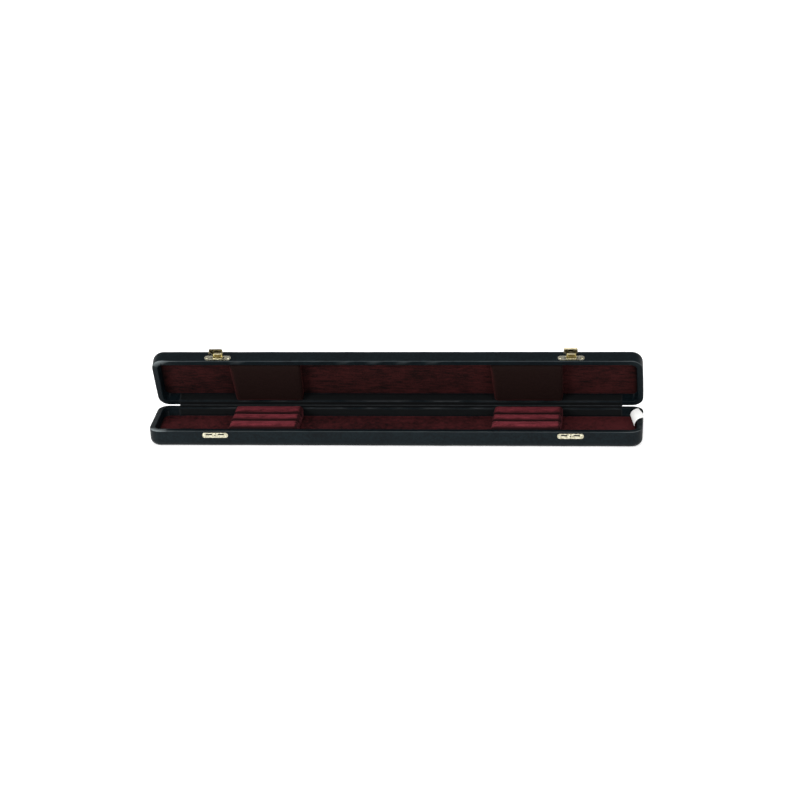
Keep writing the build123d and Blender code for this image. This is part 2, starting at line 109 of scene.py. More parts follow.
# %% Write shader sums as expressions
class Wire:
    def __init__(self, tree, socket=None):
        self.tree, self.socket = tree, socket

    def node(self, kind, inputs=None, output=0, stops=None, **settings):
        made = self.tree.nodes.new("ShaderNode" + kind)
        for key, value in settings.items():
            setattr(made, key, value)
        if stops:
            while len(made.color_ramp.elements) < len(stops):
                made.color_ramp.elements.new(0.5)
            for element, (place, shade) in zip(made.color_ramp.elements, stops):
                element.position, element.color = place, (shade, shade, shade, 1)
        for key, value in (inputs or {}).items():
            self.plug(made.inputs[key], value)
        return Wire(self.tree, made.outputs[output])

    def plug(self, target, value):
        if isinstance(value, Wire):
            self.tree.links.new(value.socket, target)
        else:
            target.default_value = value

    def sum_node(self, operation, first, second):
        return self.node("Math", {0: first, 1: second}, operation=operation)

    def __add__(self, other):
        return self.sum_node("ADD", self, other)

    def __sub__(self, other):
        return self.sum_node("SUBTRACT", self, other)

    def __rsub__(self, other):
        return self.sum_node("SUBTRACT", other, self)

    def __mul__(self, other):
        return self.sum_node("MULTIPLY", self, other)

    __radd__, __rmul__ = __add__, __mul__


# %% [markdown]
# Every finish starts from the same parts: a Principled shader, the surface's own coordinates in metres,
# noise at a real size, and a bump. Constants go straight on the shader's sockets. Where a finish has to
# know about the shape, the mesh writes a number on each point or face, and the finish reads it by its
# name.


# %% Start a finish
def start_finish(name, **constants):
    finish = bpy.data.materials.new(name)
    finish.use_nodes = True
    shader = finish.node_tree.nodes["Principled BSDF"]
    for key, value in constants.items():
        shader.inputs[key.replace("_", " ")].default_value = value
    wire = Wire(finish.node_tree)
    place = wire.node("TexCoord", output="Object")
    return finish, wire, place, shader


def noise_at(wire, place, size, detail=2.0, roughness=0.5, stretch=(1, 1, 1)):
    """Noise whose blobs are about this size in metres, as a number from 0 to 1."""
    stretched = wire.node("Mapping", {"Vector": place, "Scale": stretch})
    inputs = {"Vector": stretched, "Scale": 1 / size, "Detail": detail, "Roughness": roughness}
    return wire.node("TexNoise", inputs)


def ramp(wire, value, low, high, top=1.0):
    """0 up to low, a straight rise from there, and top from high on."""
    return wire.node("ValToRGB", {"Fac": value}, stops=[(low, 0.0), (high, top)])


def written(wire, name):
    """The number that the mesh carries under this name."""
    return wire.node("Attribute", output="Fac", attribute_name=name)


def mix_colours(wire, share, first, second):
    """The first colour where share is 0 and the second where it is 1. Each is a colour or a link."""
    first, second = (c if isinstance(c, Wire) else (*c, 1) for c in (first, second))
    return wire.node("Mix", {"Factor": share, 6: first, 7: second}, output=2, data_type="RGBA")


def set_bump(wire, shader, height, depth, strength):
    bump = wire.node("Bump", {"Height": height, "Distance": depth, "Strength": strength})
    wire.plug(shader.inputs["Normal"], bump)


def srgb(red, green, blue):
    """A colour as it looks on the screen, 0 to 255, made linear."""
    shares = [c / 255 for c in (red, green, blue)]
    return tuple(s / 12.92 if s < 0.04045 else ((s + 0.055) / 1.055) ** 2.4 for s in shares)


# %% [markdown]
# The leatherette is coated cloth embossed with a fine pebble grain, black with a cold green-blue cast. A Voronoi
# texture gives pebbles under a millimetre, and noise of twice their size makes some of them paler, which is the
# grain that shows from afar. Slow noise lets colour and gloss vary where hands have smoothed it. Its own gloss is
# low, because the coating is dull. Where the mesh asks for a painted highlight, along the rims and most of all at
# the left-hand corners, the black is painted greyer.


# %% Leatherette finish
def leatherette_finish():
    finish, wire, place, shader = start_finish("leatherette", Specular_IOR_Level=0.10)
    pebbles = wire.node("TexVoronoi", {"Vector": place, "Scale": 1 / (0.85 * mm), "Randomness": 0.9},
                        output="Distance", feature="SMOOTH_F1")
    fine = noise_at(wire, place, 0.25 * mm, detail=3)
    wear_and_highlight_noise = noise_at(wire, place, 22 * mm, detail=3)
    cloudy = ramp(wire, wear_and_highlight_noise, 0.35, 0.7)
    grain = ramp(wire, noise_at(wire, place, 1.6 * mm), 0.35, 0.65)
    paler = cloudy * 0.2 + grain * 0.5 + pebbles * 0.3
    colour = mix_colours(wire, paler, srgb(0, 3, 6), srgb(13, 24, 28))
    # painted highlight: the mesh's number, broken up by noise, turns the black grey
    painted_highlight = written(wire, "painted_highlight") * (fine * 0.8 + wear_and_highlight_noise * 0.8)
    wire.plug(shader.inputs["Base Color"], mix_colours(wire, painted_highlight, colour, srgb(136, 144, 146)))
    wire.plug(shader.inputs["Roughness"], 0.40 + 0.14 * pebbles + 0.10 * fine - 0.06 * cloudy)
    set_bump(wire, shader, pebbles * 0.8 + fine * 0.2, 0.16 * mm, 0.45)
    return finish


leatherette = leatherette_finish()
print("finish:", leatherette.name)

# %% [markdown]
# Velvet is a short dense pile. It is brightest where its fibres lean away and catch light at a grazing angle, so
# the shader gets sheen, and it looks patchy where the pile leans one way or another. Slow noise gives the patches,
# noise that can be stretched as a hand strokes the piece gives the strokes, and flecks of about a millimetre break
# both up. The finest noise is only felt, in the bump. A floor is paler towards its ends and a little towards the
# right, and turns to painted shade along the end walls. On a raised piece the mesh says how much painted light
# each point gets, and the rest is painted shade.


# %% Velvet finish
def velvet_finish(name, deep, bright, shade, patch, sheen, tint, ends=None, stroke=(0.3, 1.7, 1.7)):
    finish, wire, place, shader = start_finish(
        name, Roughness=0.92, Specular_IOR_Level=0.1, Sheen_Weight=sheen, Sheen_Roughness=0.4,
        Sheen_Tint=(*tint, 1),
    )
    patches = noise_at(wire, place, patch, detail=4, roughness=0.55, stretch=(1, 1.4, 1.4))
    pile = noise_at(wire, place, 0.45 * mm, detail=3, roughness=0.7)
    strokes = noise_at(wire, place, 3 * mm, detail=3, stretch=stroke)
    flecks = noise_at(wire, place, 1.3 * mm, detail=2)
    mottle = patches * 0.35 + strokes * 0.4 + flecks * 0.25
    if ends:
        paler_from, paler_over, end_shade_width = 110 * mm, 60 * mm, 3.5 * mm
        along = wire.node("SeparateXYZ", {"Vector": place}, output="X")
        far = wire.node("Math", {0: along}, operation="ABSOLUTE")
        far_out = wire.node("Clamp", {"Value": (far - paler_from) * (1 / paler_over)})
        mottle = mottle + far_out * ends + along * 0.15
        # painted shade: the floor turns to its shade colour near each end wall
        lit = wire.node("Clamp", {"Value": (case_length / 2 - wall - far) * (1 / end_shade_width)})
    else:
        # painted light where the mesh says so, and painted shade elsewhere
        lit = written(wire, "painted_light")
    colour = mix_colours(wire, ramp(wire, mottle, 0.39, 0.63), deep, bright)
    wire.plug(shader.inputs["Base Color"], mix_colours(wire, lit, shade, colour))
    set_bump(wire, shader, pile * 0.7 + strokes * 0.6, 0.35 * mm, 0.5)
    return finish


# each velvet's third colour is its painted shade
floor_velvet = velvet_finish("floor velvet", srgb(6, 2, 3), srgb(60, 21, 23), srgb(6, 5, 5),
                             patch=24 * mm, sheen=0.12, tint=srgb(150, 55, 60), ends=0.09,
                             stroke=(0.8, 0.6, 1))
lid_velvet = velvet_finish("lid velvet", srgb(10, 4, 4), srgb(54, 20, 20), srgb(6, 5, 5),
                           patch=22 * mm, sheen=0.12, tint=srgb(150, 60, 60), ends=0.015)
# the rests' velvet is painted lighter than the floors' as light
rest_velvet = velvet_finish("rest velvet", srgb(60, 17, 22), srgb(108, 41, 49), srgb(22, 4, 5),
                            patch=9 * mm, sheen=0.25, tint=srgb(190, 95, 105))
pad_velvet = velvet_finish("lid pad velvet", srgb(38, 14, 14), srgb(66, 26, 26), srgb(18, 7, 5),
                           patch=20 * mm, sheen=0.12, tint=srgb(170, 60, 60))
print("finishes:", [finish.name for finish in (floor_velvet, lid_velvet, rest_velvet, pad_velvet)])

# %% [markdown]
# The fittings are thin brass, plated pale gold and polished. Polished metal shows what stands round it, so the
# finish needs little colour of its own: small wandering differences in gloss, hairline scratches along the case
# and an olive tarnish that gathers in patches. The mesh can give some faces a second colour: the latches' housings
# are more golden than their plates. The levers' own colours are painted dark as shade, and their second colour is
# bright brass, with a painted highlight on the right-hand lip. The pins and springs are steel with a yellower
# plating.


# %% Brass and steel finishes
def metal_finish(name, clean, dull, base_roughness, tarnish, second=None):
    finish, wire, place, shader = start_finish(name, Metallic=1.0)
    stain = noise_at(wire, place, 2.2 * mm, detail=4, roughness=0.65)
    dulled = ramp(wire, stain, 0.42, 0.68, top=tarnish)
    hairs = noise_at(wire, place, 0.5 * mm, detail=3, stretch=(0.15, 2.5, 2.5))
    colour = mix_colours(wire, dulled, clean, dull)
    if second:
        marked = written(wire, "second") * (1 - 0.5 * dulled)
        colour = mix_colours(wire, marked, colour, second)
    wire.plug(shader.inputs["Base Color"], colour)
    wire.plug(shader.inputs["Roughness"], base_roughness + 0.12 * hairs + 0.25 * dulled)
    set_bump(wire, shader, hairs + stain * 0.5, 0.02 * mm, 0.3)
    return finish


brass = metal_finish("brass", srgb(208, 204, 182), srgb(112, 104, 70), base_roughness=0.18, tarnish=0.85)
plate_brass = metal_finish("plate brass", srgb(238, 234, 214), srgb(104, 98, 66), base_roughness=0.16,
                           tarnish=0.9, second=srgb(214, 202, 150))
# the levers' colours are painted dark as shade; their second colour is the brass's own, and a painted highlight on
# the right-hand lip
lever_brass_painted_shade = metal_finish("lever brass with painted shade", srgb(88, 80, 56), srgb(34, 30, 19), base_roughness=0.26,
                           tarnish=1.0, second=srgb(208, 198, 166))
steel = metal_finish("plated spring steel", srgb(206, 192, 140), srgb(100, 92, 62), base_roughness=0.28,
                     tarnish=0.6)
print("finishes:", [finish.name for finish in (brass, plate_brass, lever_brass_painted_shade, steel)])

# %% [markdown]
# The hinge strip is a black woven tape. Its threads are half a millimetre wide and cross over and under. Two bands
# of waves at right angles give that, where only one of the two is high. It is painted greyer as highlights where
# it bends and along its cut ends. The tag's paper only needs fine fibres and a few slow creases. The wood, the
# board and the foam are hidden, and share one finish with a grain of the right size and direction.


# %% Tape, paper and hidden finishes
def tape_finish():
    finish, wire, place, shader = start_finish("woven tape", Roughness=0.85, Specular_IOR_Level=0.1)
    bands = {"Vector": place, "Scale": 1 / (3.2 * mm)}  # at this scale they repeat every millimetre
    warp = wire.node("TexWave", bands, output="Fac", bands_direction="X")
    weft = wire.node("TexWave", bands, output="Fac", bands_direction="Z")
    thread = warp * (1 - weft) + weft * (1 - warp)
    tone_and_highlight_noise = noise_at(wire, place, 6 * mm, detail=3)
    colour = mix_colours(wire, thread * 0.6 + tone_and_highlight_noise * 0.4, srgb(5, 6, 7), srgb(17, 19, 20))
    # painted highlight where the mesh asks for it, broken up by noise
    painted_highlight = written(wire, "painted_highlight") * (0.5 + tone_and_highlight_noise)
    wire.plug(shader.inputs["Base Color"], mix_colours(wire, painted_highlight, colour, srgb(46, 50, 52)))
    set_bump(wire, shader, thread, 0.12 * mm, 0.6)
    return finish


def paper_finish():
    finish, wire, place, shader = start_finish("blank paper", Specular_IOR_Level=0.35)
    fibres = noise_at(wire, place, 0.6 * mm, detail=4, roughness=0.7)
    creases = noise_at(wire, place, 5 * mm, detail=2)
    colour = mix_colours(wire, fibres * 0.5 + creases * 0.5, srgb(240, 240, 237), srgb(252, 252, 250))
    wire.plug(shader.inputs["Base Color"], colour)
    wire.plug(shader.inputs["Roughness"], 0.5 + 0.2 * fibres)
    set_bump(wire, shader, fibres * 0.5 + creases, 0.08 * mm, 0.4)
    return finish


def grained_finish(name, dark, light, size, stretch):
    finish, wire, place, shader = start_finish(name, Specular_IOR_Level=0.25)
    grain = noise_at(wire, place, size, detail=5, roughness=0.65, stretch=stretch)
    wire.plug(shader.inputs["Base Color"], mix_colours(wire, grain, dark, light))
    wire.plug(shader.inputs["Roughness"], 0.65 + 0.2 * grain)
    set_bump(wire, shader, grain, 0.1 * mm, 0.4)
    return finish


tape = tape_finish()
paper = paper_finish()
wood = grained_finish("plain wood", srgb(150, 108, 66), srgb(205, 165, 115), 4 * mm, (0.08, 1.5, 1.5))
board = grained_finish("pressed board", srgb(120, 112, 98), srgb(170, 160, 142), 1.5 * mm, (1, 1, 1))
foam = grained_finish("soft foam", srgb(190, 184, 160), srgb(226, 220, 200), 0.9 * mm, (1, 1, 1))
print("finishes:", [finish.name for finish in (tape, paper, wood, board, foam)])

# %% [markdown]
# Every node gets the finish of its slot. The nails, the pins and the springs are right as they are, and
# so are the nodes hidden inside the walls and under the lining. All others are modelled again below.

# %% Dress the nodes
slot_finishes = {
    "leatherette": leatherette, "floor_velvet": floor_velvet, "rest_velvet": rest_velvet,
    "lid_pad_velvet": pad_velvet, "brass": brass, "steel": steel, "strip_cloth": tape, "paper": paper,
    "wood": wood, "felt_board": board, "foam": foam,
}
for row in frame["record"]["subparts"]:
    surface = nodes[row["node"]].data
    surface.materials.clear()
    surface.materials.append(slot_finishes[row["material_slot"]])

# %% [markdown]
# Every new piece ends the same way: carried to its seat, turned into a mesh with smooth shading, given its finish,
# and tied to the body it moves with, while the nodes that it stands for are hidden.


# %% Finish a piece
def finish_piece(name, bm, seat, finish, body=None, stands_for=()):
    bmesh.ops.recalc_face_normals(bm, faces=bm.faces)
    bm.transform(seat)
    surface = bpy.data.meshes.new(name)
    bm.to_mesh(surface)
    bm.free()
    surface.shade_smooth()
    surface.materials.append(finish)
    piece = bpy.data.objects.new(name, surface)
    bpy.context.scene.collection.objects.link(piece)
    if stands_for:
        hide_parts(*stands_for)
    if body:
        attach(piece, body)
    print(name, len(surface.polygons), "faces")
    return piece


def even_shading(piece):
    """Let the large faces decide how the edges between them are shaded."""
    piece.modifiers.new("even shading", "WEIGHTED_NORMAL").keep_sharp = True


# %% [markdown]
# Many pieces also begin the same way: as a slab with rounded corners, cut by planes into faces that are
# short enough to bend. bmesh's operators do the shaping, and these helpers only pick the edges, faces and
# planes that they work on. A piece of the lid is measured flat, in its tray, before it is modelled.


# %% Start a shape
def facing(bm, direction, level=None):
    """The faces that look along direction, at this height along it where one is given."""
    towards = Vector(direction)
    return [f for f in bm.faces if f.normal @ towards > 0.99
            and (level is None or abs(f.calc_center_median() @ towards - level) < 0.01 * mm)]


def round_edges(bm, edges, radius, segments):
    bmesh.ops.bevel(bm, geom=list(edges), offset=radius, segments=segments, profile=0.5, affect="EDGES",
                    offset_type="OFFSET", clamp_overlap=False, material=-1)
    bm.normal_update()


def upright_edges(bm):
    return [e for e in bm.edges if (e.verts[0].co - e.verts[1].co).normalized().z ** 2 > 0.99]


def block(length, depth, height, corner, corner_segments=8):
    """A slab on z = 0 with its four upright edges rounded."""
    bm = bmesh.new()
    size = Matrix.Diagonal((length, depth, height, 1))
    bmesh.ops.create_cube(bm, size=1, matrix=Matrix.Translation((0, 0, height / 2)) @ size)
    round_edges(bm, upright_edges(bm), corner, corner_segments)
    return bm


def cut_through(bm, point, across):
    """Cut the mesh where it meets the plane through this point."""
    everything = bm.verts[:] + bm.edges[:] + bm.faces[:]
    bmesh.ops.bisect_plane(bm, geom=everything, plane_co=point, plane_no=across)


def slice_across(bm, axis, low, high, step):
    """Cut the mesh with evenly spaced planes, so that it has points to bend at."""
    count = round((high - low) / step)
    for i in range(1, count):
        cut_through(bm, Vector(axis) * (low + (high - low) * i / count), axis)
    bm.normal_update()


def box_in_tray(node, seat):
    """The node's lowest and highest corners, measured in the tray that this seat carries."""
    to_tray = seat.inverted()
    flat = [to_tray @ v.co for v in nodes[node].data.vertices]
    low = Vector([min(p[i] for p in flat) for i in range(3)])
    high = Vector([max(p[i] for p in flat) for i in range(3)])
    return low, high


def ripple(bm, height, size, where=lambda co: 1.0, seed=0.0):
    """Move every point a little along its normal, by smooth noise of this size."""
    for v in bm.verts:
        v.co += v.normal * (height * where(v.co) * noise.noise(v.co / size + Vector((seed, 0, 0))))


# %% [markdown]
# The leatherette gets a painted highlight in a narrow band along the rim, and in a longer patch round each front
# corner, most of all at the left. The mesh has to say where that is, because noise alone can't know where a rim
# lies. Each point of the outer wall near the rim gets its own number.

# %% Painted highlights along the rims
# how much painted highlight the band along the rim and the right-hand front corner get
rim_band_highlight = 0.12
right_corner_highlight = 0.25
patch_length = 22 * mm
patch_depth = 8 * mm


def paint_rim_highlights(bm, height, front, left_corner_highlight):
    """Write on each point how much painted highlight it gets. front is -1 or 1, the side of the tray that opens.
    """
    painted_highlight = bm.verts.layers.float.new("painted_highlight")
    corners = []
    for side, most in ((-1, left_corner_highlight), (1, right_corner_highlight)):
        corners.append((Vector((side * case_length / 2, front * case_depth / 2)), most))
    for v in bm.verts:
        past_x = abs(v.co.x) - case_length / 2 + corner_radius
        past_y = abs(v.co.y) - case_depth / 2 + corner_radius
        reach = Vector((max(past_x, 0), max(past_y, 0))).length + min(max(past_x, past_y), 0)
        outer = reach > corner_radius - 1.1 * rim_round
        near = 0.0
        for corner, most in corners:
            away = v.co.xy - corner
            near = max(near, most * (1 - Vector((away.x / patch_length, away.y / patch_depth)).length))
        drop = (height - v.co.z) / rim_round
        in_band = 0.1 - 0.3 * near < drop < 0.9 + 0.3 * near
        v[painted_highlight] = rim_band_highlight + (1 - rim_band_highlight) * near if outer and in_band else 0.0


# %% [markdown]
# Each tray's cover is one shell: a slab with rounded corners and a soft lower edge, hollowed by insetting its top
# face by the wall and pushing that face down to the board. The rims are rounded last. Real leatherette is
# stretched by hand over wood, so the long faces are cut into short ones and rippled by a fraction of a millimetre,
# which is enough to break up the reflections. One more cut just under the rim keeps the band of painted highlight
# narrow.


# %% Covers of both trays
def tray_cover(name, height, seat, body, node, front, left_corner_highlight):
    cover_step = 9 * mm
    bm = block(case_length, case_depth, height, corner_radius)
    round_edges(bm, facing(bm, (0, 0, -1))[0].edges, edge_radius, 6)
    top = facing(bm, (0, 0, 1))[0]
    bmesh.ops.inset_region(bm, faces=[top], thickness=wall, use_even_offset=True)
    pressed = bmesh.ops.extrude_discrete_faces(bm, faces=[top])["faces"]
    bmesh.ops.translate(bm, verts=pressed[0].verts[:], vec=(0, 0, board_top - height))
    bm.normal_update()
    rims = {e for f in facing(bm, (0, 0, 1), height) for e in f.edges}
    rims = [e for e in rims if any(abs(f.normal.z) < 0.1 for f in e.link_faces)]
    round_edges(bm, rims, rim_round, 4)
    slice_across(bm, (1, 0, 0), -case_length / 2, case_length / 2, cover_step)
    slice_across(bm, (0, 1, 0), -case_depth / 2, case_depth / 2, cover_step)
    cut_through(bm, (0, 0, height - 1.7 * rim_round), (0, 0, 1))
    bm.normal_update()
    ripple(bm, height=0.16 * mm, size=14 * mm, seed=height / mm)
    paint_rim_highlights(bm, height, front, left_corner_highlight)
    even_shading(finish_piece(name, bm, seat, leatherette, body, [node]))


tray_cover("base_leatherette", base_height, base_seat, "base", "base_cover", front=-1, left_corner_highlight=1.0)
tray_cover("lid_leatherette", lid_height, lid_seat, "lid", "lid_cover", front=1, left_corner_highlight=0.8)

# %% [markdown]
# The floors are velvet glued over a thin pad. The sheet rolls down at its border where it is tucked in
# against the walls, and lies a little uneven in between. It is a slab with rolled top edges, cut into a
# fine grid and rippled, less near the long walls where the glue holds it flat.


# %% Velvet floors
def velvet_floor(name, node, seat, body, finish):
    corner, border_roll, grid, glued_border = 4.6 * mm, 0.6 * mm, 4 * mm, 8 * mm
    low, high = box_in_tray(node, seat)
    size = high - low
    bm = block(size.x, size.y, size.z, corner, 6)
    round_edges(bm, facing(bm, (0, 0, 1))[0].edges, border_roll, 3)
    slice_across(bm, (1, 0, 0), -size.x / 2, size.x / 2, grid)
    slice_across(bm, (0, 1, 0), -size.y / 2, size.y / 2, grid)

    def looseness(co):
        return min(1, (size.y / 2 - abs(co.y)) / glued_border) * (co.z > size.z * 0.9)

    ripple(bm, height=0.55 * mm, size=17 * mm, where=looseness)
    bm.transform(Matrix.Translation(low + Vector((size.x / 2, size.y / 2, 0))))
    finish_piece(name, bm, seat, finish, body, [node])


velvet_floor("base_velvet_floor", "base_floor_velvet", base_seat, "base", floor_velvet)
velvet_floor("lid_velvet_floor", "lid_floor_velvet", lid_seat, "lid", lid_velvet)

# %% [markdown]
# The velvet of the rests and of the lid's pads is soft over what it covers, and both are made by the same three
# steps. A voxel remesh gives a rough form an even skin, which is then smoothed a little. Cloth simulation swells
# that skin, by less than half a millimetre, while its foot stays glued. Last, each point gets a number, from the
# way it faces, that says how much painted light it has against painted shade.


# %% Remesh, settle and paint light and shade
def remeshed(piece, voxel, smoothing):
    """Give the piece an even closed skin, smoothed this many times."""
    remesh = piece.modifiers.new("even skin", "REMESH")
    remesh.mode, remesh.voxel_size, remesh.use_smooth_shade = "VOXEL", voxel, True
    smooth = piece.modifiers.new("soften", "SMOOTH")
    smooth.factor, smooth.iterations = 0.5, smoothing
    graph = bpy.context.evaluated_depsgraph_get()
    shaped = bpy.data.meshes.new_from_object(piece.evaluated_get(graph))
    piece.modifiers.clear()
    piece.data = shaped
    shaped.shade_smooth()


def settle(piece, is_glued, most):
    """Swell the skin as cloth over its filling. No point moves as far as most, and glued points stay."""
    held = piece.vertex_groups.new(name="glued")
    held.add([v.index for v in piece.data.vertices if is_glued(v.co)], 1.0, "REPLACE")
    cloth = piece.modifiers.new("velvet", "CLOTH").settings
    cloth.quality, cloth.mass, cloth.vertex_group_mass = 5, 0.3, "glued"
    cloth.use_pressure, cloth.uniform_pressure_force = True, 4
    cloth.tension_stiffness = cloth.compression_stiffness = 8
    cloth.shear_stiffness, cloth.bending_stiffness = 3, 0.2
    cloth.effector_weights.gravity = 0
    moments = 15
    for moment in range(1, moments + 1):
        bpy.context.scene.frame_set(moment)
    graph = bpy.context.evaluated_depsgraph_get()
    swollen = [v.co.copy() for v in piece.evaluated_get(graph).data.vertices]
    piece.modifiers.clear()
    piece.vertex_groups.clear()
    longest = 0
    for v, new in zip(piece.data.vertices, swollen):
        step = new - v.co
        longest = max(longest, step.length)
        v.co += step * (most / (most + step.length))
    bpy.context.scene.frame_set(1)
    print(piece.name, f"swelled by {longest / mm:.2f} mm, eased to under {most / mm:.2f} mm")


def paint_light_share(piece, lit_share):
    """Write how much painted light each point has against painted shade, 0 to 1. The function given works it out
    from a point and its normal.
    """
    painted_light = piece.data.attributes.new("painted_light", "FLOAT", "POINT")
    for v in piece.data.vertices:
        painted_light.data[v.index].value = min(1, max(0, lit_share(v.co, v.normal)))


# %% [markdown]
# The rests are soft rolls of velvet that hold a baton's shaft in the two grooves between them. The rough form is a
# low slab with three bars drawn up from it, which the remesh joins into one skin. Both ends are rounded down. The
# velvet is painted lighter than the floors' as light, with painted light on the crests and on the shoulders of the
# left-hand ends, and painted shade in the grooves and at the right-hand ends. The front roll has painted light
# further down its front than the others.


# %% Velvet rests
def velvet_rest(side):
    groove, depth, rolls = 3.4 * mm, 4.8 * mm, 3
    foot_corner, roll_round, end_round = 1.5 * mm, 4.2 * mm, 4 * mm
    skin, glued_foot = 0.9 * mm, 1.2 * mm
    low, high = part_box(f"{side}_rest_velvet")
    size = high - low
    pitch = size.y / rolls
    centre = Vector(((low.x + high.x) / 2, (low.y + high.y) / 2, low.z))
    bm = block(size.x, size.y, size.z - depth, foot_corner, 3)
    for i in range(1, rolls):
        for edge in (-groove / 2, groove / 2):
            cut_through(bm, (0, -size.y / 2 + pitch * i + edge, 0), (0, 1, 0))
    bm.normal_update()
    wide = [f for f in facing(bm, (0, 0, 1)) if f.calc_area() > size.x * groove * 1.5]
    bars = bmesh.ops.extrude_discrete_faces(bm, faces=wide)["faces"]
    bmesh.ops.translate(bm, verts=[v for f in bars for v in f.verts], vec=(0, 0, depth))
    bm.normal_update()
    round_edges(bm, {e for f in facing(bm, (0, 0, 1), size.z) for e in f.edges}, roll_round, 6)
    bm.transform(Matrix.Translation(centre))
    piece = finish_piece(f"{side}_velvet_rest", bm, base_seat, rest_velvet)
    remeshed(piece, skin, 2)
    for v in piece.data.vertices:
        past = abs(v.co.x - centre.x) - (size.x / 2 - end_round)
        if past > 0:
            v.co.z = min(v.co.z, high.z - end_round + max(0, end_round ** 2 - past ** 2) ** 0.5)
    settle(piece, lambda co: co.z < low.z + glued_foot, 0.5 * mm)

    # painted light on faces that look up and back, less on faces that look right, and painted shade in the grooves
    # and elsewhere
    def lit_share(co, normal):
        start = 0.34 if co.y < low.y + pitch / 2 else 0.56
        return (normal.z + 0.18 * normal.y - 0.6 * max(0, normal.x) - start) / 0.4

    paint_light_share(piece, lit_share)
    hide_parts(f"{side}_rest_velvet")
    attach(piece, "base")


for side in ("left", "right"):
    velvet_rest(side)

# %% [markdown]
# Over each rest, the lid has a thick pad that keeps the batons down when it is shut. It is foam under velvet:
# crowned, with soft edges, and a little wider towards the lid's front. It stands fuller than its solid, which is
# the shape that it is pressed to. Its left and lower edges get painted light, which shows their red, and its face
# gets painted shade, which makes it nearly black.


# %% Lid pads
def lid_pad(side):
    fullness, crown, flare = 4.6 * mm, 0.5 * mm, 0.06
    corner, face_round, skin, glued_foot = 2.5 * mm, 2.2 * mm, 1.3 * mm, 1.2 * mm
    node = f"{side}_lid_pad_velvet"
    low, high = box_in_tray(node, lid_seat)
    size = high - low
    bm = block(size.x - crown, size.y - crown, size.z + fullness - crown, corner, 5)
    round_edges(bm, facing(bm, (0, 0, 1))[0].edges, face_round, 5)
    for v in bm.verts:
        v.co.x *= 1 + flare * (v.co.y / size.y + 0.5)
    bm.transform(Matrix.Translation(low + Vector((size.x / 2, size.y / 2, 0))))
    piece = finish_piece(f"{side}_velvet_pad", bm, lid_seat, pad_velvet)
    remeshed(piece, skin, 2)
    settle(piece, lambda co: (to_lid @ co).z < low.z + glued_foot, crown)
    # painted light on faces that look left and down, and painted shade on the pad's face
    light_from = lid_seat.to_3x3() @ Vector((-0.6, -0.8, 0))
    paint_light_share(piece, lambda co, normal: (normal @ light_from - 0.1) / 0.6)
    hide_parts(node)
    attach(piece, "lid")
    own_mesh(piece)


for side in ("left", "right"):
    lid_pad(side)

# %% [markdown]
# The hinge strip is one band: up the inside of the base's back wall, over both rims, and along the inside
# of the lid's back wall. Its line is a few points joined into a chain, which is cut finer and smoothed,
# drawn out along the case and thickened. It follows the base below the fold and the lid above it, and
# bends in between.


# %% Hinge strip
def hinge_strip():
    thick, fold_half, lid_end = 0.2 * mm, 0.1 * mm, 6.7 * mm
    bend_highlight, cut_end_highlight, strip_step = 1.1 * mm, 0.6 * mm, 1.2 * mm
    low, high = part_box("hinge_strip_base_leaf")
    length = high.x - low.x
    level = half_gap - thick / 2
    inside, foot = wall + thick / 2, low.z - hinge.z
    along = [
        hinge + Vector((0, -inside, foot)),
        hinge + Vector((0, -inside, -level - rim_round)),
        hinge + Vector((0, -inside + rim_round, -level)),
        hinge + Vector((0, fold_half, -level)),
        hinge + out_dir * -fold_half + up_dir * level,
        hinge + out_dir * (inside - rim_round) + up_dir * level,
        hinge + out_dir * inside + up_dir * (level + rim_round),
        hinge + out_dir * inside + up_dir * (half_gap + lid_height - lid_end),
    ]
    bm = bmesh.new()
    points = [bm.verts.new(p + Vector((-length / 2, 0, 0))) for p in along]
    chain = [bm.edges.new(pair) for pair in zip(points, points[1:])]
    bmesh.ops.subdivide_edges(bm, edges=chain, cuts=6)
    for _ in range(3):
        bmesh.ops.smooth_vert(bm, verts=[v for v in bm.verts if len(v.link_edges) == 2], factor=0.5,
                              use_axis_x=True, use_axis_y=True, use_axis_z=True)
    drawn = bmesh.ops.extrude_edge_only(bm, edges=bm.edges[:])["geom"]
    far_points = [g for g in drawn if isinstance(g, bmesh.types.BMVert)]
    bmesh.ops.translate(bm, verts=far_points, vec=(length, 0, 0))
    slice_across(bm, (1, 0, 0), -length / 2, length / 2, strip_step)
    bmesh.ops.solidify(bm, geom=bm.faces[:], thickness=thick / 2)
    painted_highlight = bm.verts.layers.float.new("painted_highlight")
    # painted highlight at the three bends and along both cut ends
    bends = [(along[i] + along[i + 1]) / 2 for i in (1, 3, 5)]
    for v in bm.verts:
        bend = 1 - min((v.co.yz - b.yz).length for b in bends) / bend_highlight
        v[painted_highlight] = max(bend, 0.5 * (abs(v.co.x) > length / 2 - cut_end_highlight))
    piece = finish_piece("hinge_strip_band", bm, Matrix.Identity(4), tape,
                         stands_for=["hinge_strip_base_leaf", "hinge_strip_fold", "hinge_strip_lid_leaf"])
    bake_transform(piece)


hinge_strip()

# %% [markdown]
# The brass fittings are stamped and rolled, so none of their edges is sharp. Each one starts from a copy
# of its node, with the loose triangles merged and flat areas dissolved, and a small bevel then rounds
# every sharp edge, where polished metal catches the light. Faces that have the finish's second colour are
# marked first. On a latch, that is the raised housing, which stands out from the plate's back.


